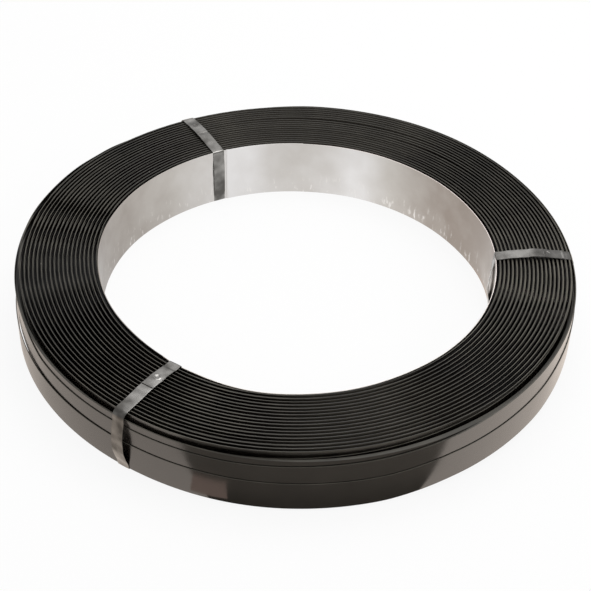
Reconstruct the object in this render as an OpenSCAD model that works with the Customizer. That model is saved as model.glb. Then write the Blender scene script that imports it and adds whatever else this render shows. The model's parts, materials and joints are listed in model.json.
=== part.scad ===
// Steel strapping coil, mill wound, lying on its end face
//
// One long black strap is laid back and forth across the width of the coil while it is wound.
// Two turns lie flush at the end, the next ones cross to the far side and come back, and so on.
// Each pass leaves a ridge and a groove on both end faces. A steel sheet, lapped at its ends, lines
// the bore and three steel ties bind the winding. Millimetres. The origin is on the axis, on the floor.

/* [Strap] */

// Width of the strapping
strap_w = 32; // [28:0.5:40]
// Thickness of the strapping, with its paint
strap_t = 0.8; // [0.5:0.05:1.3]
// Slack between neighbouring turns
turn_slack = 0.03; // [0.01:0.01:0.1]

/* [Winding] */

// Diameter of the bore, inside the liner
bore_d = 406.4; // [300:0.1:510]
// Width of the coil, from one end face to the other
coil_w = 66; // [50:1:74]
// Turns of strap in one pass across the coil and back
turns_per_pass = 5; // [5:1:8]
// Turns of each pass that lie flush with the upper end face
flush_turns = 2; // [1:1:2]
// Passes across the coil and back
passes = 18; // [6:1:26]
// Where the last turns lie, from the inside out: 0 at the upper end face, 1 at the lower one
last_turns = [0.5, 0.72, 0.3, 0.18, 0.41, 1];

/* [Liner] */

// Thickness of the sheet that lines the bore
liner_t = 0.6; // [0.3:0.05:1.5]
// Angle at which the sheet's inner end stands
liner_end = 127.3; // [70:0.1:127.5]
// Degrees by which the sheet laps over itself behind that end
liner_lap = 25; // [5:1:30]

/* [Binder ties] */

// Width of a tie
tie_w = 13; // [9:1:19]
// Thickness of a tie
tie_t = 0.5; // [0.3:0.05:0.8]
// Places of the ties around the coil: right, back, front
tie_angles = [16.5, 132, 252];
// Length of the lap where the two ends of a tie overlap, on the upper end face
tie_lap = 37; // [25:1:45]
// Diameter of the spot weld's dimple
weld_d = 5; // [3:0.5:8]
// Depth of the spot weld's dimple
weld_depth = 0.2; // [0.1:0.05:0.3]
// How far a tie stands off the upper end face at its middle
bow_top = 2; // [0.5:0.1:4]
// How far a tie stands off the outer wall at its middle
bow_out = 4.2; // [0.5:0.1:8]
// How far a tie stands off the liner at its middle
bow_in = 0.15; // [0:0.05:0.2]
// Inside radius of a tie's bend over the coil's outer shoulder
shoulder_r = 7; // [3:0.5:12]
// Inside radius of a tie's three other bends
bend_r = 1.2; // [0.6:0.1:3]
// Clearance of a tie from the curved walls and from the upper end face
seat_gap = 0.15; // [0.1:0.05:0.4]

/* [Hidden] */

$fn = 360;
bore_r = bore_d / 2;
wound_r = bore_r + liner_t;
turn_pitch = strap_t + turn_slack;
traverse = coil_w - strap_w;
crossing_turns = turns_per_pass - flush_turns;
pass_turns = passes * turns_per_pass;
turns = pass_turns + len(last_turns);
coil_r = wound_r + turns * turn_pitch;
base_z = tie_t;
end_z = base_z + coil_w;

// the flat tie lies across curved walls, so its edges come nearest inside and its middle outside
tie_in = sqrt(pow(bore_r - seat_gap, 2) - pow(tie_w / 2, 2));
tie_out = coil_r + seat_gap;
tie_top = end_z + seat_gap;
run_steps = 24;
bend_steps = 8;

// Share of the traverse by which turn k lies below the upper end: the crossing turns go down to the
// lower end and come back, then the flush turns stay at the top
function drop(k) = k >= pass_turns ? last_turns[k - pass_turns] :
    let (step = k % turns_per_pass)
    step >= crossing_turns ? 0 : 1 - abs(2 * (step + 1) / (crossing_turns + 1) - 1);

function turn_r(k) = wound_r + k * turn_pitch;
function turn_low(k) = base_z + traverse * (1 - drop(k));

// Stepped outline of one end of the winding, with a step wherever the next turn lies elsewhere
function end_outline(above) = concat(
    [[wound_r, turn_low(0) + above]],
    [for (k = [1 : turns - 1]) if (drop(k) != drop(k - 1))
        each [[turn_r(k), turn_low(k - 1) + above], [turn_r(k), turn_low(k) + above]]],
    [[coil_r, turn_low(turns - 1) + above]]);

function reversed(points) = [for (i = [len(points) - 1 : -1 : 0]) points[i]];

module strap_coil() {
    color([0.07, 0.065, 0.06])
    rotate_extrude()
    polygon(concat(end_outline(0), reversed(end_outline(strap_w))));
}

runout = 15;
lap_arc_steps = 20;

// Share of its thickness by which the sheet stands into the bore, t degrees behind its inner end
function lap_rise(t) = t <= liner_lap ? 1 : (1 + cos(180 * (t - liner_lap) / runout)) / 2;
function on_circle(r, a) = [r * cos(a), r * sin(a)];

// The lapped end lies on the sheet's other end, then the sheet runs out to the plain ring
module lapped_end() {
    angles = [for (i = [0 : lap_arc_steps]) liner_end - (liner_lap + runout) * i / lap_arc_steps];
    polygon(concat(
        [for (a = angles) on_circle(bore_r - liner_t * lap_rise(liner_end - a), a)],
        [for (a = reversed(angles)) on_circle(bore_r + liner_t / 2, a)]));
}

module core_liner() {
    color([0.75, 0.73, 0.7])
    translate([0, 0, base_z])
    linear_extrude(coil_w)
    union() {
        difference() {
            circle(r = wound_r);
            circle(r = bore_r);
        }
        lapped_end();
    }
}

// One bend of the tie's loop: a quarter arc about [x, z] from angle a, d outside the inner face
function bend(x, z, r, a, d) = [for (i = [0 : bend_steps])
    [x, z] + (r + d) * [cos(a + 90 * i / bend_steps), sin(a + 90 * i / bend_steps)]];

// Rise of a bowed run at share s of its length, level at both ends
function bow(s) = pow(sin(180 * s), 2);

top_from = tie_out - shoulder_r;
top_to = tie_in + bend_r;
side_low = base_z + bend_r;
side_high = tie_top - shoulder_r;
inner_high = tie_top - bend_r;

// Point of the upper run at share s, from the outside in, and d outside the inner face
function top_point(s, d) = [top_from + (top_to - top_from) * s, tie_top + bow_top * bow(s) + d];

// The tie's closed loop, d outside its inner face: the run under the coil is straight, the rest bowed
function loop(d) = concat(
    bend(tie_out - bend_r, base_z + bend_r, bend_r, 270, d),
    [for (i = [1 : run_steps - 1]) let (s = i / run_steps)
        [tie_out + bow_out * bow(s) + d, side_low + (side_high - side_low) * s]],
    bend(tie_out - shoulder_r, side_high, shoulder_r, 0, d),
    [for (i = [1 : run_steps - 1]) top_point(i / run_steps, d)],
    bend(top_to, inner_high, bend_r, 90, d),
    [for (i = [1 : run_steps - 1]) let (s = i / run_steps)
        [tie_in - bow_in * bow(s) - d, inner_high + (side_low - inner_high) * s]],
    bend(tie_in + bend_r, base_z + bend_r, bend_r, 180, d));

lap_share = tie_lap / (top_from - top_to) / 2;
lap_steps = 12;
weld_z = top_point(0.5, 2 * tie_t)[1] - weld_depth;

// The tie's upper end, lying on the lower one over the middle of the upper run
module lap_profile() {
    shares = [for (i = [0 : lap_steps]) 0.5 + lap_share * (2 * i / lap_steps - 1)];
    polygon(concat(
        [for (s = shares) top_point(s, 2 * tie_t)],
        [for (s = reversed(shares)) top_point(s, tie_t / 2)]));
}

module binder_tie(angle) {
    color([0.6, 0.6, 0.59])
    rotate([0, 0, angle])
    difference() {
        rotate([90, 0, 0])
        linear_extrude(tie_w, center = true)
        union() {
            difference() {
                polygon(loop(tie_t));
                polygon(loop(0));
            }
            lap_profile();
        }
        translate([(top_from + top_to) / 2, 0, weld_z]) cylinder(d = weld_d, h = 2 * tie_t);
    }
}

strap_coil();
core_liner();
binder_tie(tie_angles[0]);  // binder_tie_right
binder_tie(tie_angles[1]);  // binder_tie_back
binder_tie(tie_angles[2]);  // binder_tie_front
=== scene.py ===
# %% [markdown]
# # A steel strapping coil
#
# The object is one long steel strap, painted black and wound into a ring. While it was wound, the strap
# was laid back and forth across the ring's width, so both ends show ridges and deep grooves instead of a
# flat face. A bright sheet lines the bore, and three bare steel ties hold the winding together.
#
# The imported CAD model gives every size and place. This script reads it, builds each piece again with the
# detail that a turned solid leaves out, gives it a finish, and sets up the photograph's camera.

# %% Load the frame
import json
import math

import bmesh
import bpy
import numpy as np
from mathutils import Matrix, Vector


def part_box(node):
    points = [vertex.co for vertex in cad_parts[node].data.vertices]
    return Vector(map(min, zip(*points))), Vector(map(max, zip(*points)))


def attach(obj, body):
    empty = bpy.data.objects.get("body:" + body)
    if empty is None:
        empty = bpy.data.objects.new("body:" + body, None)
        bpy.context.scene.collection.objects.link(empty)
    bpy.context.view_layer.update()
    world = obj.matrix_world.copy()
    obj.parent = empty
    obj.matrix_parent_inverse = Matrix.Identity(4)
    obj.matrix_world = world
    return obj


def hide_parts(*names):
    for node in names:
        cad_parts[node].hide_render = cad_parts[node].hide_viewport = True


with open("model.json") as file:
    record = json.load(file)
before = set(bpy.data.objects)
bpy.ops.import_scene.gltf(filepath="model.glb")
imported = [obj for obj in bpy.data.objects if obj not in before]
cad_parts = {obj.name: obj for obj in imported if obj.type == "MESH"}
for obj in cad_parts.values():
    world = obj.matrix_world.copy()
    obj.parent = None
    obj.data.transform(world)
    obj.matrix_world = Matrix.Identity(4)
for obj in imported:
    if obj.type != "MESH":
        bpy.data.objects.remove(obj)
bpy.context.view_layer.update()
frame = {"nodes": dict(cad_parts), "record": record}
MM = 0.001
print("nodes:", sorted(frame["nodes"]))

# %% [markdown]
# ## Sizes that come from the frame
#
# The liner's box holds the height of both end faces and the radius at which the first turn of strap lies.
# The coil's box holds the outer radius. Everything below is worked out from these, in millimetres, and is
# turned into metres only when a mesh is made.

# %% Read the driving sizes
liner_low, liner_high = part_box("core_liner")
coil_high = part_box("strap_coil")[1]
base_z = liner_low.z / MM
end_z = liner_high.z / MM
wound_r = liner_high.x / MM
coil_r = coil_high.x / MM
bore_r = next(m["dims"]["r_mm"] for m in frame["record"]["mounts"] if m["name"] == "bore")
liner_t = wound_r - bore_r
tie_t = base_z
print(f"bore r {bore_r:.1f}, wound r {wound_r:.2f}, coil r {coil_r:.2f}")
print(f"end faces at z {base_z:.1f} and {end_z:.1f}")

# %% [markdown]
# ## Angles
#
# The photograph is taken from in front of the coil, and the frame is turned 15 degrees against it, so that
# the ties leave the coil's box square. Angles read off the photograph count from its right-hand side,
# anticlockwise from above, and this helper turns them into the frame's.

# %% Angle helpers
PHOTO_TURN = 15.0


def frame_angle(photo_angle):
    return photo_angle + PHOTO_TURN


def angle_between(a, b):
    """Signed difference of two angles in degrees, between -180 and 180."""
    return (np.asarray(a) - b + 180.0) % 360.0 - 180.0


def smooth(x):
    x = np.clip(x, 0.0, 1.0)
    return x * x * (3.0 - 2.0 * x)


def bump(angle, centre, half_width):
    """1 at the centre, falling smoothly to 0 at half_width degrees to either side."""
    return smooth(1.0 - np.abs(angle_between(angle, centre)) / half_width)


def plateau(angle, start, end, soft):
    """1 from start to end degrees, falling smoothly to 0 over soft degrees at both sides."""
    middle = (start + end) / 2.0
    half = (end - start) / 2.0
    return smooth((half + soft - np.abs(angle_between(angle, middle))) / soft)


# %% [markdown]
# ## A ring that has been handled
#
# Thirty kilograms of springy strap never lie in a perfect circle. The photograph shows the near left of
# the bore pushed in by more than four millimetres, the ridges in front pushed in by two, and the outer turns
# standing off there and on the right. In the far half are two places where the turns lie loose, so a
# groove is wider there. One function gives this out-of-roundness for any angle and radius. The strap, the
# liner and the ties all use it, so they stay seated together.

# %% Out-of-roundness of the ring
RING_SHAPE = [
    # photo angle, shift at the bore, at the last ridge and at the outer wall
    (10, 1.5, 1.4, 0.2),
    (30, 0.2, 1.1, 0.2),
    (60, 0.2, 0.4, 0.0),
    (130, -0.3, -0.6, 0.2),
    (150, 0.1, 1.0, 0.8),
    (160, -0.6, 0.9, 1.6),
    (170, -1.1, 0.6, 2.0),
    (180, -2.4, -0.8, 1.6),
    (195, -4.0, -2.2, 0.8),
    (210, -4.4, -3.0, 0.2),
    (222, -4.4, -2.8, -0.4),
    (230, -3.1, -2.2, -0.5),
    (237, -2.4, -1.5, -0.5),
    (245, -1.2, -0.3, 0.2),
    (250, -0.2, 0.7, 1.0),
    (262, 0.3, 0.3, 2.6),
    (280, -0.9, -1.7, 3.1),
    (290, -1.4, -1.9, 3.4),
    (300, -2.7, -3.0, 3.8),
    (312, -2.4, -2.3, 3.2),
    (322, -1.9, -2.2, 3.0),
    (332, -1.3, -1.8, 3.3),
    (342, -0.6, -0.5, 2.8),
    (352, 0.3, 0.5, 1.6),
]
LOOSE_TURNS = [
    # photo angle, half width, radius, extra gap
    (78.0, 40.0, 255.05, 2.4),
    (52.0, 26.0, 242.5, 1.7),
]
LAST_RIDGE_R = coil_r - 3.6
LAST_TURNS_W = 2.0
SOFTEN = 7
whole_turn = np.arange(-SOFTEN, 360 + SOFTEN)


def softened(shifts):
    """One shift for each whole degree, eased between the places above."""
    table = np.interp(whole_turn, shape_angles, shifts, period=360)
    return np.convolve(table, np.ones(2 * SOFTEN + 1) / (2 * SOFTEN + 1), mode="valid")


shape_angles = [place[0] for place in RING_SHAPE]
bore_shift, ridge_shift, wall_shift = [softened([place[i] for place in RING_SHAPE]) for i in (1, 2, 3)]


def dent(angle, radius):
    """Radial shift in millimetres of a point at this frame angle and nominal radius."""
    photo = np.asarray(angle) - PHOTO_TURN
    at_bore, at_ridge, at_wall = [np.interp(photo, np.arange(360), table, period=360)
                                  for table in (bore_shift, ridge_shift, wall_shift)]
    outward = np.clip((radius - bore_r) / (LAST_RIDGE_R - bore_r), 0.0, 1.0)
    shift = at_bore + (at_ridge - at_bore) * outward
    shift = shift + (at_wall - at_ridge) * smooth((radius - LAST_RIDGE_R) / LAST_TURNS_W)
    for centre, half_width, loose_r, gap in LOOSE_TURNS:
        shift = shift + bump(photo, centre, half_width) * gap * smooth((radius - loose_r) / 0.8 + 0.5)
    return shift


# %% [markdown]
# ## Skinning a row of sections
#
# The strap, the liner and the ties are all long thin sheet. Each is a row of section outlines, joined by
# quads and closed at both ends. One helper makes that mesh from an array of points, gives it texture
# coordinates that run in metres along and across the strip, and marks the edges that are truly sharp, so
# that light breaks on them.

# %% Mesh helper
SHARP_ANGLE = math.radians(32)


def skin(name, rings):
    """Closed mesh through rings, an array of shape (sections, points of a section, 3) in millimetres."""
    rings = np.asarray(rings, float) * MM
    count, points = rings.shape[:2]
    first = np.arange(count - 1)[:, None] * points
    j = np.arange(points)[None, :]
    k = (j + 1) % points
    quads = np.stack([first + j, first + k, first + points + k, first + points + j], -1).reshape(-1, 4)
    caps = [list(range(points))[::-1], [(count - 1) * points + i for i in range(points)]]
    mesh = bpy.data.meshes.new(name)
    mesh.from_pydata(rings.reshape(-1, 3).tolist(), [], quads.tolist() + caps)

    along = np.concatenate([[0], np.cumsum(np.linalg.norm(np.diff(rings[:, 0], axis=0), axis=1))])
    outline = np.concatenate([rings[0], rings[0][:1]])
    across = np.concatenate([[0], np.cumsum(np.linalg.norm(np.diff(outline, axis=0), axis=1))])
    u = np.stack([along[:-1], along[:-1], along[1:], along[1:]], -1)[:, None, :].repeat(points, 1)
    v = np.stack([across[:-1], across[1:], across[1:], across[:-1]], -1)[None, :, :].repeat(count - 1, 0)
    uv = np.stack([u, v], -1).reshape(-1, 2)
    uv = np.concatenate([uv, np.zeros((2 * points, 2))])
    layer = mesh.uv_layers.new(name="strip")
    layer.data.foreach_set("uv", uv.ravel())

    work = bmesh.new()
    work.from_mesh(mesh)
    bmesh.ops.recalc_face_normals(work, faces=work.faces)
    work.to_mesh(mesh)
    work.free()
    mesh.polygons.foreach_set("use_smooth", [True] * len(mesh.polygons))
    mesh.set_sharp_from_angle(angle=SHARP_ANGLE)
    piece = bpy.data.objects.new(name, mesh)
    bpy.context.scene.collection.objects.link(piece)
    print(f"{name}: {len(mesh.vertices)} points, about {2 * len(quads)} triangles")
    return piece


def store_along(piece, name, values, points):
    """Stores one number per section of a skinned strip, for its finish to read."""
    layer = piece.data.attributes.new(name, "FLOAT", "POINT")
    layer.data.foreach_set("value", np.repeat(np.asarray(values, float), points))


def upright_section(thickness, height, edge, rows=1):
    """Outline of a strip on edge, as (radial, up) pairs with its lower inner corner at the origin."""
    side = np.linspace(edge, height - edge, rows + 1)
    inner = [(0.0, z) for z in side[::-1]]
    outer = [(thickness, z) for z in side]
    return np.array([(edge, 0.0), (thickness - edge, 0.0)] + outer
                    + [(thickness - edge, height), (edge, height)] + inner)


def polar(angle, radius, z):
    """Points at frame angles in degrees."""
    a = np.radians(angle)
    return np.stack([radius * np.cos(a), radius * np.sin(a), z + 0.0 * a], -1)


# %% [markdown]
# ## The strap
#
# The real strap is one strip, 32 mm wide and 0.8 mm thick, with about 94 turns. It could be made as a
# stack of rings, but then no strap would run into the next one and nothing would end. Here it is one
# spiral ribbon. Its height follows the winding: two turns at the upper end, one turn down, one turn at the
# lower end and one turn back up, then the same again, eighteen times. The turns wind outward clockwise,
# seen from above. A strap comes up to full height only halfway through its first upper turn, so the light
# line on a ridge is one strap wide in front and two at the back.
#
# At the left the photograph shows the ridges running slantwise across the turns, so that one ridge runs
# out at the bore and a new one comes in from the outside. The turns there rise and dip as they pass, and
# the same pattern is moved on by one ridge between two angles.
#
# The first and the last turns don't keep to the pattern, so their upper edge follows listed places:
# the head lies beside the liner, a little below the face, and the tail slants down the outer wall. Only at
# the left do the last turns come up to the pattern again, and the outermost one lies near the rim.

# %% Winding path of the strap
STRAP_W = 32.0
STRAP_T = 0.8
STRAP_EDGE = 0.2
STEPS_PER_TURN = 112
WALL_STEPS_PER_TURN = 336
TURNS_PER_PASS = 5.0
# turns since a pass began, share of the way down to the other end of the coil
CROSSING = [(0.0, 0.0), (1.0, 1.0), (2.0, 1.0), (3.0, 0.05), (3.4, 0.03), (3.46, 0.0), (5.0, 0.0)]
# in front the turns just inside a ridge hardly dip: photo angles from, to and softness
SHALLOW_FRONT = (250.0, 292.0, 12.0)
SHALLOW_FROM_STEP = 2.9
SHALLOW_SHARE = 0.7
PATTERN_END = 90.0
LEFT_RIM_END = 93.8
BELOW_RIM = 0.3
LAST_TURNS_WEAR_AND_LIGHT = 0.75
FLUSH_ANGLE = 347.0
HEAD_TURN = 0.318
TAIL_TURN = 94.52
SLANT_FROM = 154.0
SLANT_TO = 206.0
SLANT_MIDDLE = (SLANT_FROM + SLANT_TO) / 2.0
SLANT_DEPTH = 0.22
RIDGE_STEP = 4.2
coil_w = end_z - base_z

# turn, height of the strap's upper edge above the coil's base
HEAD_PATH = [(0.318, 65.7), (0.5, 65.4), (0.62, 58.0), (0.9, 48.0), (1.15, 56.0), (1.3, 63.6), (1.46, 63.6),
             (1.6, 52.0), (1.9, 46.0), (2.1, 52.0), (2.3, 63.8), (2.46, 63.8), (2.6, 60.0), (3.0, 62.0)]
TAIL_PATH = [(90.0, 66.0), (90.5, 49.0), (91.0, 36.0), (91.3, 35.0), (91.7, 45.0), (92.0, 57.0),
             (92.12, 60.0), (92.4, 60.3), (92.6, 60.0), (92.72, 65.5), (92.96, 66.0), (93.02, 64.5),
             (93.094, 61.5), (93.125, 58.5), (93.164, 55.5), (93.25, 52.5), (93.375, 51.8),
             (93.395, 60.0), (93.42, 64.6), (93.58, 64.6), (93.65, 56.0), (93.75, 58.0), (93.9, 60.0),
             (93.97, 56.0), (94.02, 47.0), (94.058, 39.8), (94.13, 38.0), (94.165, 34.0),
             (94.27, 33.2), (94.4, 32.9), (94.52, 32.7)]


def slanting(photo):
    """1 where the ridges run most aslant, 0 where they follow the turns."""
    return bump(photo, SLANT_MIDDLE, (SLANT_TO - SLANT_FROM) * 0.62)


def slant_turns(photo):
    """Turns by which the pattern has moved on at this photo angle."""
    return TURNS_PER_PASS * smooth((photo - SLANT_FROM) / (SLANT_TO - SLANT_FROM))


def pattern_top(turn, photo):
    """Upper edge of the strap in the regular passes, for a turn and its photo angle."""
    step = np.mod(turn + slant_turns(photo), TURNS_PER_PASS)
    steep = along_path(step, CROSSING)
    shallow = steep * (1.0 - SHALLOW_SHARE * plateau(photo, *SHALLOW_FRONT))
    steep = np.where(step > SHALLOW_FROM_STEP, shallow, steep)
    gentle = (1.0 - np.cos(2.0 * np.pi * (step - RIDGE_STEP) / TURNS_PER_PASS)) / 2.0
    share_down = steep + (gentle * SLANT_DEPTH - steep) * slanting(photo)
    return coil_w - (coil_w - STRAP_W) * share_down


def along_path(turn, path):
    places = np.array(path)
    return np.interp(turn, places[:, 0], places[:, 1])


def uneven(turn):
    """Small wander of a strap's height from turn to turn, in millimetres."""
    return 0.16 * np.sin(1.7 * turn + 1.0) + 0.1 * np.sin(4.1 * turn) + 0.07 * np.sin(9.3 * turn + 2.0)


inner_turns = np.linspace(HEAD_TURN, PATTERN_END, int((PATTERN_END - HEAD_TURN) * STEPS_PER_TURN))
wall_turns = np.linspace(PATTERN_END, TAIL_TURN, int((TAIL_TURN - PATTERN_END) * WALL_STEPS_PER_TURN))
turn = np.concatenate([inner_turns, wall_turns[1:]])
strap_angle = frame_angle(FLUSH_ANGLE) - 360.0 * turn
strap_photo = np.mod(strap_angle - PHOTO_TURN, 360.0)
flush_drop = coil_w - pattern_top(turn, strap_photo)
top = coil_w - flush_drop
top = np.where(turn < 3.0, np.maximum(along_path(turn, HEAD_PATH), top), top)
on_rim = plateau(strap_photo, 150.0, 199.0, 8.0) * (turn < LEFT_RIM_END)
tail_top = along_path(turn, TAIL_PATH)
tail_top = tail_top + on_rim * np.maximum(top - tail_top, 0.0)
top = np.where(turn > PATTERN_END, tail_top, top)
ease = np.ones(3) / 3.0
top = np.convolve(np.pad(top, 1, mode="edge"), ease, mode="valid") + uneven(turn) - BELOW_RIM

# how worn and lit the upper edge is painted: fully where the strap lies flush, black a little lower,
# which stands both for unworn paint and for painted shade
edge_fade_depth = 0.5 + 2.0 * slanting(strap_photo) + 0.9 * plateau(strap_photo, *SHALLOW_FRONT)
rubbed = smooth(1.0 - flush_drop / edge_fade_depth)
first_ridge_front = bump(strap_photo, 290.0, 34.0) * (turn < 5.0)
rubbed = rubbed * (1.0 - 0.7 * first_ridge_front)

# photo angle, how light the worn edges are painted there: painted light and shade around the ring
EDGE_LIGHT = [(10, 0.81), (20, 0.5), (30, 0.38), (40, 0.34), (60, 0.36), (80, 0.36), (100, 0.3), (110, 0.4),
              (125, 0.3), (135, 0.27), (150, 0.45), (160, 0.62), (170, 0.85), (180, 0.8), (195, 0.56),
              (210, 0.5), (222, 0.58), (235, 0.68), (250, 0.82), (260, 0.6), (270, 0.44), (280, 0.28),
              (290, 0.4), (300, 0.58), (310, 0.48), (320, 0.72), (330, 0.95), (340, 1.0), (355, 1.0)]
light_angle, light_share = np.array(EDGE_LIGHT).T
rubbed = rubbed * np.interp(strap_photo, light_angle, light_share, period=360)
unworn = plateau(strap_photo, 150.0, 188.0, 12.0) * (turn < LEFT_RIM_END)
# the last turns' edges are painted light, as worn and lit edges, except on the left rim, where they follow
# the pattern
rubbed = np.where(turn > PATTERN_END, np.maximum(LAST_TURNS_WEAR_AND_LIGHT * (1.0 - unworn), rubbed * unworn), rubbed)

# how dusty the turns' sides are near the end face: most in front, a little at the back
dusty = 0.8 * bump(strap_photo, 286.0, 28.0) + 0.6 * plateau(strap_photo, 66.0, 108.0, 20.0)
strap_turns = TAIL_TURN - HEAD_TURN
turn_pitch = (coil_r - wound_r - STRAP_T - 0.1) / strap_turns
strap_r = wound_r + 0.05 + turn_pitch * (turn - HEAD_TURN)
strap_m = float(np.sum(np.radians(360.0) * strap_r[:-1] * np.diff(turn))) * MM
print(f"{strap_turns:.1f} turns {turn_pitch:.3f} mm apart, {strap_m:.0f} m of strap")

# %% [markdown]
# The head stands away from the winding. Before its square-cut end the first turn leaves the others and
# pushes the liner into the bore. The tail's free end stands a little off the outer wall.
#
# The ring's shape spreads some turns, most of all the last ones. The photograph shows no light through
# the coil there, as other turns fill the room. The strip is drawn that much thicker to close the gap.

# %% Make the strap
THICK_UNWORN = 0.45
HEAD_SPRING = 1.3
HEAD_LEAVES = 195.0
HEAD_LEAVES_OVER = 38.0
HEAD_FREE_TURNS = 1.2
HEAD_PHOTO_ANGLE = FLUSH_ANGLE - 360.0 * HEAD_TURN
TAIL_SPRING = 1.5
SPRING_TURNS = 0.26


def head_push(angle):
    """Share of the head's spring at this frame angle."""
    photo = np.mod(np.asarray(angle) - PHOTO_TURN, 360.0)
    rising = smooth((photo - HEAD_LEAVES) / HEAD_LEAVES_OVER)
    falling = smooth((HEAD_PHOTO_ANGLE + 5.0 - photo) / 6.0)
    return rising * falling


head_free = head_push(strap_angle) * np.clip(1.0 - (turn - HEAD_TURN) / HEAD_FREE_TURNS, 0.0, 1.0)
tail_free = 1.0 - smooth((TAIL_TURN - turn) / SPRING_TURNS)
strap_shift = dent(strap_angle, strap_r) - HEAD_SPRING * head_free + TAIL_SPRING * tail_free
section = upright_section(STRAP_T, STRAP_W, STRAP_EDGE)
room = dent(strap_angle, strap_r + turn_pitch) - dent(strap_angle, strap_r)
room = np.clip(room, 0.0, None)
rubbed = rubbed * (1.0 - THICK_UNWORN * np.clip(room, 0.0, 1.0))
outer_side = section[:, 0] > STRAP_T / 2.0
ring_r = (strap_r + strap_shift)[:, None] + section[None, :, 0] + room[:, None] * outer_side[None, :]
ring_z = (base_z + top - STRAP_W)[:, None] + section[None, :, 1]
strap = skin("wound_strap", polar(strap_angle[:, None] + 0.0 * ring_r, ring_r, ring_z))
# one number per section for the slit edges: wear together with painted light and shade
store_along(strap, "rubbed", rubbed, len(section))
store_along(strap, "dusty", dusty, len(section))
face_normals = np.empty(3 * len(strap.data.polygons))
strap.data.polygons.foreach_get("normal", face_normals)
slit_faces = np.abs(face_normals[2::3]) > 0.3
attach(strap, "root")
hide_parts("strap_coil")

# %% [markdown]
# ## The liner
#
# A strip of bright sheet is bent into a ring inside the bore, with its ends lapped. The inner end shows
# beside the far left tie as an upright edge, with one corner standing a little proud. The sheet is thin
# and not quite true, so its inner face gets several rows of points and a shallow wave. Each flat stretch
# mirrors another part of the room, which shows as upright light and dark bands. They could come from
# lamps and screens around the coil, but then every change of light would move them. Here each section of
# the sheet stores how much light it mirrors, and the finish reads that.

# %% Make the liner
LAP_ANGLE = 113.6
LAP_SPAN = 25.0
LAP_EASE = 20.0
LINER_STEPS = 560
LINER_ROWS = 10
progress = np.linspace(0.0, 360.0 + LAP_SPAN, LINER_STEPS)
liner_angle = frame_angle(LAP_ANGLE) - progress
lap_shift = -(liner_t + 0.05) * (1.0 - smooth((progress - LAP_SPAN) / LAP_EASE))
liner_shift = dent(liner_angle, bore_r) + lap_shift - (HEAD_SPRING + 0.2) * head_push(liner_angle)
corner_up = 0.9 * smooth(1.0 - progress / 2.5)
near_side = plateau(liner_angle - PHOTO_TURN, 264.0, 330.0, 26.0)
near_left = plateau(liner_angle - PHOTO_TURN, 205.0, 232.0, 14.0)
liner_top = end_z - 0.2 + corner_up - 2.4 * near_side - 1.2 * near_left
sheet = upright_section(liner_t, 1.0, 0.0005, LINER_ROWS)
height = liner_top - base_z
ring_z = base_z + sheet[None, :, 1] * height[:, None]
wave = 0.12 * np.sin(np.radians(liner_angle * 5.0)[:, None] + ring_z / 21.0)
wave = wave + 0.07 * np.sin(np.radians(liner_angle * 13.0)[:, None] - ring_z / 13.0 + 1.0)
ring_r = bore_r + liner_shift[:, None] + sheet[None, :, 0] + wave
liner = skin("bore_liner", polar(liner_angle[:, None] + 0.0 * ring_r, ring_r, ring_z))

# photo angle, share of the room's light that the sheet mirrors there
LINER_BANDS = [(-35, 0.45), (-8, 0.4), (4, 0.02), (20, 0.0), (33, 0.02), (44, 0.14), (55, 0.36), (63, 0.6),
               (68, 0.88), (73, 0.92), (79, 0.7), (90, 0.62), (99, 0.68), (106, 0.95), (112, 1.0),
               (113.5, 1.0), (113.7, 0.75), (124, 0.66), (138, 0.42), (155, 0.25), (172, 0.2), (200, 0.2),
               (325, 0.45)]
band_angle, band_light = np.array(LINER_BANDS).T
liner_photo = np.mod(liner_angle - PHOTO_TURN + 35.0, 360.0) - 35.0
sheen = np.interp(liner_photo, band_angle, band_light)
# the bands are a painted reflection: the finish paints them into the sheet's colour
store_along(liner, "bands", sheen, ring_r.shape[1])
# rim_light marks the arc where the liner's rim gets a painted highlight
store_along(liner, "rim_light", plateau(liner_photo, -10.0, 76.0, 16.0), ring_r.shape[1])
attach(liner, "root")
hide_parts("core_liner")

# %% [markdown]
# ## The ties
#
# Each tie is a strip 13 mm wide and 0.5 mm thick, drawn round the ring's section and spot welded where its
# ends lap. The steel is stiff, so it doesn't follow the section: it lies flat underneath, stands off the
# outer wall, rounds the outer shoulder, arches over the end face and turns sharply into the bore. The
# loop is drawn once as a line of points in the section's plane, outer end to inner end, and a flat
# section is skinned along it. The last points lie on the first ones, one thickness higher, which makes the
# lap.

# %% Loop of a tie in the section's plane
TIE_W = 13.0
TIE_EDGE = 0.12
BEND_R = 1.3
INNER_BEND_R = 1.8
SHOULDER_R = 7.0
SEAT = 0.15
POINT_SPACING = 0.6


def arc(centre, radius, start, end, steps=10):
    a = np.radians(np.linspace(start, end, steps))
    return [(centre[0] + radius * math.cos(t), centre[1] + radius * math.sin(t)) for t in a]


def bowed(start, end, bow, steps=40):
    """Points between two ends, standing off by bow at the middle, to the left of the way."""
    start, end = np.array(start), np.array(end)
    way = (end - start) / np.linalg.norm(end - start)
    left = np.array([-way[1], way[0]])
    s = np.linspace(0.0, 1.0, steps)[1:-1]
    lift = bow * np.sin(np.pi * s) ** 1.4
    return [tuple(start + (end - start) * a + left * b) for a, b in zip(s, lift)]


def travelled(points):
    return np.concatenate([[0], np.cumsum(np.linalg.norm(np.diff(points, axis=0), axis=1))])


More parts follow.
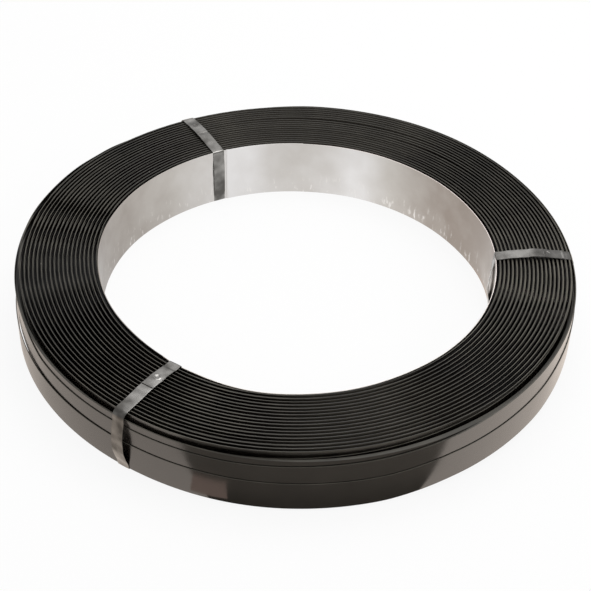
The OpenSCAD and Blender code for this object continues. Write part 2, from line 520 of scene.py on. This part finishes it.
def tie_loop(inner, outer, bow_out, bow_top, bow_in):
    """Middle line of a tie: outward over the upper run, round the section, and over the upper run again."""
    half = tie_t / 2.0
    left = inner - SEAT - half
    right = outer + SEAT + half
    low = half
    high = end_z + SEAT + half
    corner_in = (left + INNER_BEND_R, high - INNER_BEND_R)
    shoulder = (right - SHOULDER_R, high - SHOULDER_R)
    upper = bowed((corner_in[0], high), (shoulder[0], high), bow_top)
    inner_run = bowed((left, low + BEND_R), (left, corner_in[1]), bow_in)
    outer_run = bowed((right, shoulder[1]), (right, low + BEND_R), bow_out)
    loop = np.array(upper + arc(shoulder, SHOULDER_R, 90, 0) + outer_run
                    + arc((right - BEND_R, low + BEND_R), BEND_R, 0, -90)
                    + arc((left + BEND_R, low + BEND_R), BEND_R, -90, -180) + inner_run
                    + arc(corner_in, INNER_BEND_R, 180, 90) + upper)
    length = travelled(loop)
    at = np.linspace(0, length[-1], int(length[-1] / POINT_SPACING))
    line = np.stack([np.interp(at, length, loop[:, i]) for i in range(2)], -1)
    return line, travelled(line), length[len(loop) - len(upper)]


# %% [markdown]
# The loop passes the upper run twice, outward both times. The strip starts part of the way along the
# first pass and ends part of the way along the second one, which lies on top by one thickness. The weld
# is a round dimple with a low rim, in the middle of the lap. A faint undulation along the strip and a
# slight crown across it stand for the handling that gives real ties their broken highlights.

# %% Make a tie
LIFT_EASE = 3.0
WELD_R = 2.6
WELD_DEPTH = 0.5
WELD_RIM = 0.26
CROWN = 0.14
WAVES = [(0.22, 4.4), (0.1, 2.0)]
ACROSS = 17


def make_tie(name, node, photo_angle, lap, bow_out, bow_top, bow_in, skew=(0.0, 0.0), lean=0.0, twist=0.0):
    """lap: where the lower and the upper end lie, in mm from the inner corner. skew: sideways shift at
    the bore and at the outer wall. lean: sideways shift from the top of the tie to its underside.
    twist: slope of the inner run across its width, halfway down the bore."""
    angle = frame_angle(photo_angle)
    inner = bore_r + float(dent(angle, bore_r))
    outer = coil_r + float(dent(angle, coil_r))
    line, travel, second_pass = tie_loop(inner, outer, bow_out, bow_top, bow_in)
    under_end, upper_end = lap
    keep = (travel >= under_end) & (travel <= second_pass + upper_end)
    line, travel = line[keep], travel[keep]
    tangent = np.gradient(line, axis=0)
    tangent /= np.linalg.norm(tangent, axis=1)[:, None]
    outward = np.stack([-tangent[:, 1], tangent[:, 0]], -1)
    past_step = travel - second_pass - under_end
    lift = (tie_t + 0.04) * smooth(past_step / LIFT_EASE + 1.0)
    lift = lift + 0.35 * smooth((past_step - (upper_end - under_end) + 3.0) / 3.0)
    above_floor = smooth(line[:, 1] / 8.0)
    for height, length in WAVES:
        lift = lift + above_floor * height * np.sin(travel / length + photo_angle)
    line = line + outward * lift[:, None]

    half_w = TIE_W / 2.0
    across = np.linspace(-half_w + TIE_EDGE, half_w - TIE_EDGE, ACROSS)
    crown = -CROWN * (across / half_w) ** 2
    upper_side = np.stack([across, crown + tie_t / 2.0], -1)
    lower_side = np.stack([across, crown - tie_t / 2.0], -1)[::-1]
    edge_low = -CROWN - tie_t / 2.0 + TIE_EDGE
    edge_high = -CROWN + tie_t / 2.0 - TIE_EDGE
    outline = np.concatenate([upper_side, [(half_w, edge_high), (half_w, edge_low)],
                              lower_side, [(-half_w, edge_low), (-half_w, edge_high)]])
    from_weld = np.hypot((past_step - (upper_end - under_end) / 2.0)[:, None], outline[None, :, 0])
    pressed = WELD_RIM * bump(from_weld, WELD_R + 0.7, 1.1) - WELD_DEPTH * smooth(1.3 - from_weld / WELD_R)
    off = outline[None, :, 1] + pressed
    radial = line[:, None, 0] + outward[:, None, 0] * off
    up = line[:, None, 1] + outward[:, None, 1] * off
    in_bore = (radial < inner + 0.5) * np.sin(np.pi * np.clip((up - base_z) / coil_w, 0.0, 1.0))
    radial = radial + twist * outline[None, :, 0] * in_bore
    side = outline[None, :, 0] + np.interp(radial, (inner, outer), skew) + lean * ((up - end_z) / coil_w)
    a = math.radians(angle)
    x = radial * math.cos(a) - side * math.sin(a)
    y = radial * math.sin(a) + side * math.cos(a)
    tie = skin(name, np.stack([x, y, up], -1))
    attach(tie, "root")
    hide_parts(node)
    return tie


TIES = [
    make_tie("tie_right", "binder_tie_right", 1.5, (33.0, 67.0), 4.2, 3.2, 2.6, skew=(0.0, 2.0),
             twist=0.18),
    make_tie("tie_back", "binder_tie_back", 117.0, (38.0, 69.0), 4.2, 2.2, 1.2, skew=(-3.0, 2.6)),
    make_tie("tie_front", "binder_tie_front", 237.2, (8.0, 38.0), 5.4, 2.2, 1.6, skew=(0.0, -2.4),
             lean=-2.4),
]

# %% [markdown]
# ## Materials
#
# One function turns a hex colour into linear light, one turns a size in millimetres into a noise's scale,
# and one adds a node with its settings and links. Each finish is a function of its own.

# %% Material helpers


def linear(hex_colour):
    """sRGB hex to the linear RGBA that shader sockets take."""
    values = [int(hex_colour[i:i + 2], 16) / 255.0 for i in (1, 3, 5)]
    return [v / 12.92 if v <= 0.04045 else ((v + 0.055) / 1.055) ** 2.4 for v in values] + [1.0]


def grey(value):
    return [value, value, value, 1.0]


def scale_for(size_mm):
    """Noise scale whose blotches or streaks are about this many millimetres across."""
    return 1.0 / (size_mm * MM)


def add_node(tree, kind, settings=None, inputs=None, stops=()):
    """Adds a node. inputs maps a socket's name or number to a value or to another node's output, and
    stops are the (place, colour) pairs of a colour ramp."""
    made = tree.nodes.new(kind)
    for key, value in (settings or {}).items():
        setattr(made, key, value)
    for key, value in (inputs or {}).items():
        if isinstance(value, bpy.types.NodeSocket):
            tree.links.new(value, made.inputs[key])
        else:
            made.inputs[key].default_value = value
    for i, (place, colour) in enumerate(stops):
        points = made.color_ramp.elements
        point = points[i] if i < len(points) else points.new(place)
        point.position = place
        point.color = colour
    return made


def new_material(name):
    material = bpy.data.materials.new(name)
    material.use_nodes = True
    material.node_tree.nodes.clear()
    return material, material.node_tree


# most of a noise's values lie between these two
NOISE_LOW = 0.3
NOISE_HIGH = 0.7

# %% [markdown]
# ### Black paint on the strap
#
# The strap is cold-rolled steel that ran through a paint bath and was baked, so the paint is thin, even
# and smooth, and it shows the rolling marks of the steel under it as faint streaks along the strap, drawn
# about 70 mm long and 1.1 mm apart so that they show. Wax gives it a sheen. It is nearly black, and almost
# all that one sees of its flat side is what it reflects. Its tone and gloss wander over 26 mm or so. Between
# the ridges some dust has settled on the uppermost millimetres of the turns.

# %% Strap paint
DUST_FROM = end_z - 5.0
DUST_FULL = end_z - 1.0
SCUFF_SIZE = 26.32


def black_strapping_paint():
    material, tree = new_material("black_baked_strapping_paint")
    strip = add_node(tree, "ShaderNodeUVMap", {"uv_map": "strip"})
    streaks = add_node(tree, "ShaderNodeMapping", inputs={
        "Vector": strip.outputs[0], "Scale": (scale_for(71.43), scale_for(1.111), 1.0)})
    rolling = add_node(tree, "ShaderNodeTexNoise", inputs={
        "Vector": streaks.outputs[0], "Scale": 1.0, "Detail": 3.0})
    place = add_node(tree, "ShaderNodeTexCoord")
    scuffs = add_node(tree, "ShaderNodeTexNoise", inputs={
        "Vector": place.outputs["Object"], "Scale": scale_for(SCUFF_SIZE), "Detail": 4.0})
    tone = add_node(tree, "ShaderNodeValToRGB", inputs={"Fac": scuffs.outputs["Fac"]},
                    stops=[(NOISE_LOW, linear("#0e0b09")), (NOISE_HIGH, linear("#1c1814"))])
    dusty_place = add_node(tree, "ShaderNodeAttribute", {"attribute_name": "dusty"})
    height = add_node(tree, "ShaderNodeSeparateXYZ", inputs={0: place.outputs["Object"]})
    near_face = add_node(tree, "ShaderNodeMapRange", inputs={
        "Value": height.outputs["Z"], "From Min": DUST_FROM * MM, "From Max": DUST_FULL * MM})
    dust = add_node(tree, "ShaderNodeMath", {"operation": "MULTIPLY", "use_clamp": True},
                    {0: dusty_place.outputs["Fac"], 1: near_face.outputs[0]})
    colour = add_node(tree, "ShaderNodeMix", {"data_type": "RGBA"},
                      {0: dust.outputs[0], 6: tone.outputs["Color"], 7: linear("#6a655d")})
    gloss = add_node(tree, "ShaderNodeMapRange", inputs={
        "Value": scuffs.outputs["Fac"], "From Min": NOISE_LOW, "From Max": NOISE_HIGH,
        "To Min": 0.15, "To Max": 0.24})
    relief = add_node(tree, "ShaderNodeBump", inputs={
        "Strength": 0.05, "Distance": 0.2 * MM, "Height": rolling.outputs["Fac"]})
    paint = add_node(tree, "ShaderNodeBsdfPrincipled", inputs={
        "Base Color": colour.outputs[2], "Roughness": gloss.outputs[0], "IOR": 1.95, "Metallic": 0.0,
        "Normal": relief.outputs[0]})
    add_node(tree, "ShaderNodeOutputMaterial", inputs={"Surface": paint.outputs[0]})
    return material


# %% [markdown]
# ### Slit edges of the strap
#
# The edges were slit before painting and hold less paint. Where a strap lies flush with the face, its edge
# rubs on everything and is dulled to a dusty grey, and its lightness is painted to change around the ring
# as painted light and shade, so the ridges show as light lines from every side. A strap that lies lower is
# black, which stands both for its unworn paint and for painted shade. The finish mixes the two by the
# number that each section of the strap stores. There are a few pale flecks, a millimetre or two across.

# %% Slit edges


def rubbed_slit_edge():
    material, tree = new_material("rubbed_slit_edge")
    place = add_node(tree, "ShaderNodeTexCoord")
    dust = add_node(tree, "ShaderNodeTexNoise", inputs={
        "Vector": place.outputs["Object"], "Scale": scale_for(SCUFF_SIZE), "Detail": 4.0})
    wear_and_light = add_node(tree, "ShaderNodeAttribute", {"attribute_name": "rubbed"})
    dusty_grey = add_node(tree, "ShaderNodeValToRGB", inputs={"Fac": dust.outputs["Fac"]},
                          stops=[(NOISE_LOW, linear("#58554e")), (NOISE_HIGH, linear("#716d63"))])
    # mixes black and the worn grey by the stored number, which holds wear and painted light and shade
    tone = add_node(tree, "ShaderNodeMix", {"data_type": "RGBA"},
                    {0: wear_and_light.outputs["Fac"], 6: linear("#0d0b0a"), 7: dusty_grey.outputs["Color"]})
    flecks = add_node(tree, "ShaderNodeTexNoise", inputs={
        "Vector": place.outputs["Object"], "Scale": scale_for(2.381), "Detail": 1.0})
    fleck_mask = add_node(tree, "ShaderNodeValToRGB", inputs={"Fac": flecks.outputs["Fac"]},
                          stops=[(0.0, grey(0.0)), (0.79, grey(0.0)), (0.82, grey(1.0))])
    colour = add_node(tree, "ShaderNodeMix", {"data_type": "RGBA"},
                      {0: fleck_mask.outputs["Color"], 6: tone.outputs[2], 7: linear("#8d8780")})
    edge = add_node(tree, "ShaderNodeBsdfPrincipled", inputs={
        "Base Color": colour.outputs[2], "Roughness": 0.36, "IOR": 1.35, "Metallic": 0.0})
    add_node(tree, "ShaderNodeOutputMaterial", inputs={"Surface": edge.outputs[0]})
    return material


# %% [markdown]
# ### Bright sheet of the liner
#
# The liner is bare cold-rolled sheet with a fine satin grain along the strip, 40 mm long and 0.6 mm apart.
# Its tint follows the bands of light that each section stores, a painted reflection, from a warm grey where
# it mirrors the dim side of the room to nearly white. Hands and damp leave very soft stains, 30 mm across,
# and pale dried splashes, about 4 mm wide and 13 mm high, sit near the lower edge. The rim of the sheet is
# painted near-white on its upper face in the far right part of the bore, a painted highlight.

# %% Liner sheet


def bright_cold_rolled_sheet():
    material, tree = new_material("bright_cold_rolled_sheet")
    place = add_node(tree, "ShaderNodeTexCoord")
    strip = add_node(tree, "ShaderNodeUVMap", {"uv_map": "strip"})
    bands = add_node(tree, "ShaderNodeAttribute", {"attribute_name": "bands"})
    grain_map = add_node(tree, "ShaderNodeMapping", inputs={
        "Vector": strip.outputs[0], "Scale": (scale_for(40.0), scale_for(0.625), 1.0)})
    grain = add_node(tree, "ShaderNodeTexNoise", inputs={
        "Vector": grain_map.outputs[0], "Scale": 1.0, "Detail": 3.0})
    stain = add_node(tree, "ShaderNodeTexNoise", inputs={
        "Vector": place.outputs["Object"], "Scale": scale_for(29.41), "Detail": 5.0})
    mirrored = add_node(tree, "ShaderNodeMapRange", inputs={
        "Value": stain.outputs["Fac"], "From Min": NOISE_LOW, "From Max": NOISE_HIGH,
        "To Min": -0.07, "To Max": 0.07})
    light = add_node(tree, "ShaderNodeMath", {"operation": "ADD", "use_clamp": True},
                     {0: bands.outputs["Fac"], 1: mirrored.outputs[0]})
    # painted reflection: the stored bands, shifted a little by the stains, set the sheet's tint
    tint = add_node(tree, "ShaderNodeValToRGB", inputs={"Fac": light.outputs[0]},
                    stops=[(0.0, linear("#958a81")), (0.5, linear("#c4bfb9")), (1.0, linear("#e6e4e3"))])
    splash_map = add_node(tree, "ShaderNodeMapping", inputs={
        "Vector": strip.outputs[0], "Scale": (scale_for(3.846), scale_for(13.333), 1.0)})
    splash = add_node(tree, "ShaderNodeTexNoise", inputs={
        "Vector": splash_map.outputs[0], "Scale": 1.0, "Detail": 3.0})
    height = add_node(tree, "ShaderNodeSeparateXYZ", inputs={0: place.outputs["Object"]})
    near_floor = add_node(tree, "ShaderNodeMapRange", inputs={
        "Value": height.outputs["Z"], "From Min": 3.0 * MM, "From Max": 30.0 * MM,
        "To Min": 0.8, "To Max": 0.0})
    spots = add_node(tree, "ShaderNodeValToRGB", inputs={"Fac": splash.outputs["Fac"]},
                     stops=[(0.0, grey(0.0)), (0.59, grey(0.0)), (0.72, grey(1.0))])
    low_spots = add_node(tree, "ShaderNodeMath", {"operation": "MULTIPLY"},
                         {0: spots.outputs["Color"], 1: near_floor.outputs[0]})
    facing = add_node(tree, "ShaderNodeNewGeometry")
    facing_up = add_node(tree, "ShaderNodeSeparateXYZ", inputs={0: facing.outputs["True Normal"]})
    # painted highlight: the rim's upper face is mixed towards near-white where rim_light is set
    rim_light = add_node(tree, "ShaderNodeAttribute", {"attribute_name": "rim_light"})
    rim = add_node(tree, "ShaderNodeMath", {"operation": "MULTIPLY", "use_clamp": True},
                   {0: facing_up.outputs["Z"], 1: rim_light.outputs["Fac"]})
    sheet_tone = add_node(tree, "ShaderNodeMix", {"data_type": "RGBA"},
                          {0: low_spots.outputs[0], 6: tint.outputs["Color"], 7: linear("#f2eeea")})
    colour = add_node(tree, "ShaderNodeMix", {"data_type": "RGBA"},
                      {0: rim.outputs[0], 6: sheet_tone.outputs[2], 7: linear("#fff3ee")})
    rough = add_node(tree, "ShaderNodeMapRange", inputs={
        "Value": stain.outputs["Fac"], "From Min": NOISE_LOW, "From Max": NOISE_HIGH,
        "To Min": 0.36, "To Max": 0.3})
    relief = add_node(tree, "ShaderNodeBump", inputs={
        "Strength": 0.12, "Distance": 0.2 * MM, "Height": grain.outputs["Fac"]})
    sheet_metal = add_node(tree, "ShaderNodeBsdfPrincipled", inputs={
        "Base Color": colour.outputs[2], "Roughness": rough.outputs[0], "Metallic": 1.0,
        "Normal": relief.outputs[0]})
    add_node(tree, "ShaderNodeOutputMaterial", inputs={"Surface": sheet_metal.outputs[0]})
    return material


# %% [markdown]
# ### Bare steel of the ties
#
# The ties are narrow bright strapping, drawn tight with a hand tool. They are darker and smoother than
# the liner, with scratches along their length, 25 mm long and half a millimetre apart, and smudges from
# handling, 18 mm across.

# %% Tie steel


def bare_tie_steel():
    material, tree = new_material("bare_rolled_tie_steel")
    place = add_node(tree, "ShaderNodeTexCoord")
    strip = add_node(tree, "ShaderNodeUVMap", {"uv_map": "strip"})
    scratch_map = add_node(tree, "ShaderNodeMapping", inputs={
        "Vector": strip.outputs[0], "Scale": (scale_for(25.0), scale_for(0.4545), 1.0)})
    scratches = add_node(tree, "ShaderNodeTexNoise", inputs={
        "Vector": scratch_map.outputs[0], "Scale": 1.0, "Detail": 4.0})
    smudge = add_node(tree, "ShaderNodeTexNoise", inputs={
        "Vector": place.outputs["Object"], "Scale": scale_for(18.18), "Detail": 2.0})
    tint = add_node(tree, "ShaderNodeValToRGB", inputs={"Fac": smudge.outputs["Fac"]},
                    stops=[(0.35, linear("#5b5956")), (0.65, linear("#989693"))])
    rough = add_node(tree, "ShaderNodeMapRange", inputs={
        "Value": smudge.outputs["Fac"], "From Min": NOISE_LOW, "From Max": NOISE_HIGH,
        "To Min": 0.32, "To Max": 0.17})
    relief = add_node(tree, "ShaderNodeBump", inputs={
        "Strength": 0.05, "Distance": 0.2 * MM, "Height": scratches.outputs["Fac"]})
    steel = add_node(tree, "ShaderNodeBsdfPrincipled", inputs={
        "Base Color": tint.outputs["Color"], "Roughness": rough.outputs[0], "Metallic": 1.0,
        "Normal": relief.outputs[0]})
    add_node(tree, "ShaderNodeOutputMaterial", inputs={"Surface": steel.outputs[0]})
    return material


# %% Give the pieces their finishes
strap.data.materials.append(black_strapping_paint())
strap.data.materials.append(rubbed_slit_edge())
strap.data.polygons.foreach_set("material_index", slit_faces.astype(np.int32))
liner.data.materials.append(bright_cold_rolled_sheet())
tie_steel = bare_tie_steel()
for tie in TIES:
    tie.data.materials.append(tie_steel)
print("finishes:", [m.name for m in bpy.data.materials])

# %% [markdown]
# ## Floor, light and camera
#
# The photograph is a cut-out on white, so the floor is white to the camera and takes a faint shadow. A
# glossy wall seen from above shows nothing but the floor before it, and in the photograph those
# reflections are warm, a little dimmer on the left, and dark in front. So mirror rays see a warm floor
# around the coil, white in the bore, and a dark card and a small brown one in front. The cards are left
# out of everything but reflections.

# %% Floor and cards
FLOOR_SIZE = 6.0
# painted reflection: to mirror rays the floor glows warm, dimmer on the left and brighter on the right
WARM_FLOOR_REFLECTION = [1.1, 0.98, 0.88, 1.0]
DIMMEST = 0.8
BRIGHTEST = 1.2
WHITE_SHARE = 0.9


def flat_sheet(name, corners, z):
    mesh = bpy.data.meshes.new(name)
    mesh.from_pydata([(x, y, z) for x, y in corners], [], [list(range(len(corners)))])
    sheet_object = bpy.data.objects.new(name, mesh)
    bpy.context.scene.collection.objects.link(sheet_object)
    return sheet_object


def white_floor():
    material, tree = new_material("white_paper_floor")
    path = add_node(tree, "ShaderNodeLightPath")
    place = add_node(tree, "ShaderNodeNewGeometry")
    position = place.outputs["Position"]
    from_axis = add_node(tree, "ShaderNodeVectorMath", {"operation": "LENGTH"}, {0: position})
    outside = add_node(tree, "ShaderNodeMath", {"operation": "GREATER_THAN"},
                       {0: from_axis.outputs["Value"], 1: bore_r * MM})
    right = (math.cos(math.radians(PHOTO_TURN)), math.sin(math.radians(PHOTO_TURN)), 0.0)
    to_right = add_node(tree, "ShaderNodeVectorMath", {"operation": "DOT_PRODUCT"}, {0: position, 1: right})
    dimming = add_node(tree, "ShaderNodeMapRange", inputs={
        "Value": to_right.outputs["Value"], "From Min": -0.25, "From Max": 0.2,
        "To Min": DIMMEST, "To Max": BRIGHTEST})
    # painted reflection: mirror rays see the floor outside the bore glow warm, and white in the bore
    mirrored = add_node(tree, "ShaderNodeMix", {"data_type": "RGBA"},
                        {0: outside.outputs[0], 6: grey(1.0), 7: WARM_FLOOR_REFLECTION})
    strength = add_node(tree, "ShaderNodeMix", {"data_type": "FLOAT"},
                        {0: path.outputs["Is Camera Ray"], 2: dimming.outputs[0], 3: 1.0})
    seen_colour = add_node(tree, "ShaderNodeMix", {"data_type": "RGBA"},
                           {0: path.outputs["Is Camera Ray"], 6: mirrored.outputs[2], 7: grey(1.0)})
    seen = add_node(tree, "ShaderNodeMath", {"operation": "MAXIMUM"},
                    {0: path.outputs["Is Glossy Ray"], 1: path.outputs["Is Transmission Ray"]})
    share = add_node(tree, "ShaderNodeMath", {"operation": "MULTIPLY_ADD", "use_clamp": True},
                     {0: path.outputs["Is Camera Ray"], 1: WHITE_SHARE, 2: seen.outputs[0]})
    paper = add_node(tree, "ShaderNodeBsdfDiffuse", inputs={"Color": linear("#f6f6f6")})
    white = add_node(tree, "ShaderNodeEmission", inputs={
        "Color": seen_colour.outputs[2], "Strength": strength.outputs[0]})
    mixed = add_node(tree, "ShaderNodeMixShader", inputs={
        0: share.outputs[0], 1: paper.outputs[0], 2: white.outputs[0]})
    add_node(tree, "ShaderNodeOutputMaterial", inputs={"Surface": mixed.outputs[0]})
    return material


half_floor = FLOOR_SIZE / 2.0
floor = flat_sheet("floor", [(-half_floor, -half_floor), (half_floor, -half_floor),
                             (half_floor, half_floor), (-half_floor, half_floor)], 0.0)
floor.data.materials.append(white_floor())

# corners in the photograph's own directions, in millimetres
DARK_CARD = [(-67, -274), (106, -262), (421, -301), (500, -700), (-420, -700), (-352, -385)]
BROWN_CARD = [(-93, -273), (-58, -284), (-69, -301), (-105, -289)]
turn_card = Matrix.Rotation(math.radians(PHOTO_TURN), 2)


def mirror_only_card(name, finish_name, shader, colour, corners, z):
    card = flat_sheet(name, [tuple(turn_card @ Vector(c) * MM) for c in corners], z)
    material, tree = new_material(finish_name)
    paint = add_node(tree, shader, inputs={"Color": linear(colour)})
    add_node(tree, "ShaderNodeOutputMaterial", inputs={"Surface": paint.outputs[0]})
    card.data.materials.append(material)
    card.visible_camera = False
    card.visible_diffuse = False
    card.visible_shadow = False
    card.visible_transmission = False


# both cards show only in reflections: the dark one is painted shade in the wall's reflection, the brown one
# glows as a painted reflection
mirror_only_card("dark_card", "dark_cloth", "ShaderNodeBsdfDiffuse", "#968e84", DARK_CARD, 0.0003)
mirror_only_card("brown_card", "brown_paper", "ShaderNodeEmission", "#d8bdb0", BROWN_CARD, 0.0006)

# %% Light
scene = bpy.context.scene
scene.view_settings.view_transform = "Standard"
world = bpy.data.worlds.new("studio")
scene.world = world
world.use_nodes = True
world_tree = world.node_tree
world_tree.nodes.clear()
world_path = add_node(world_tree, "ShaderNodeLightPath")
sky = add_node(world_tree, "ShaderNodeBackground", inputs={"Color": grey(1.0), "Strength": 0.55})
backdrop = add_node(world_tree, "ShaderNodeBackground", inputs={"Color": grey(1.0), "Strength": 1.0})
world_mix = add_node(world_tree, "ShaderNodeMixShader", inputs={
    0: world_path.outputs["Is Camera Ray"], 1: sky.outputs[0], 2: backdrop.outputs[0]})
add_node(world_tree, "ShaderNodeOutputWorld", inputs={"Surface": world_mix.outputs[0]})


def softbox(name, photo_angle, distance, height, size, power):
    """Square area light that looks at the coil."""
    data = bpy.data.lights.new(name, "AREA")
    data.size = size
    data.energy = power
    lamp = bpy.data.objects.new(name, data)
    a = math.radians(frame_angle(photo_angle))
    lamp.location = (distance * math.cos(a), distance * math.sin(a), height)
    lamp.rotation_euler = (-Vector(lamp.location)).to_track_quat("-Z", "Y").to_euler()
    scene.collection.objects.link(lamp)


softbox("softbox_above", 60.0, 0.5, 1.7, 1.3, 14.0)
softbox("softbox_right", 350.0, 1.6, 1.2, 0.8, 6.0)
softbox("softbox_behind", 95.0, 2.2, 1.9, 2.0, 7.0)

# %% [markdown]
# ## Camera
#
# A camera was fitted to the photograph's two rims. It stands in front of the coil, 39.8 degrees above the
# horizontal, with an 85 mm lens on a 36 mm sensor, and it is tilted by one and a half degrees.

# %% Camera
CAMERA_DISTANCE = 1123.2
CAMERA_HEIGHT = 946.9
CAMERA_PITCH = 39.783
CAMERA_YAW = 0.035
CAMERA_ROLL = 1.4605
LENS = 85.12

yaw = math.radians(CAMERA_YAW - PHOTO_TURN)
pitch = math.radians(CAMERA_PITCH)
roll = math.radians(CAMERA_ROLL)
forward = Vector((math.sin(yaw) * math.cos(pitch), math.cos(yaw) * math.cos(pitch), -math.sin(pitch)))
level = Vector((math.cos(yaw), -math.sin(yaw), 0.0))
upward = level.cross(forward)
camera_right = math.cos(roll) * level + math.sin(roll) * upward
camera_up = -math.sin(roll) * level + math.cos(roll) * upward
stand = math.radians(270.0 + PHOTO_TURN)
camera_data = bpy.data.cameras.new("camera")
camera_data.lens = LENS
camera_data.sensor_width = 36.0
camera = bpy.data.objects.new("camera", camera_data)
rotation = Matrix((camera_right, camera_up, -forward)).transposed().to_4x4()
place = Vector((CAMERA_DISTANCE * math.cos(stand), CAMERA_DISTANCE * math.sin(stand), CAMERA_HEIGHT)) * MM
camera.matrix_world = Matrix.Translation(place) @ rotation
scene.collection.objects.link(camera)
scene.camera = camera
print("camera at", [round(v, 3) for v in place])
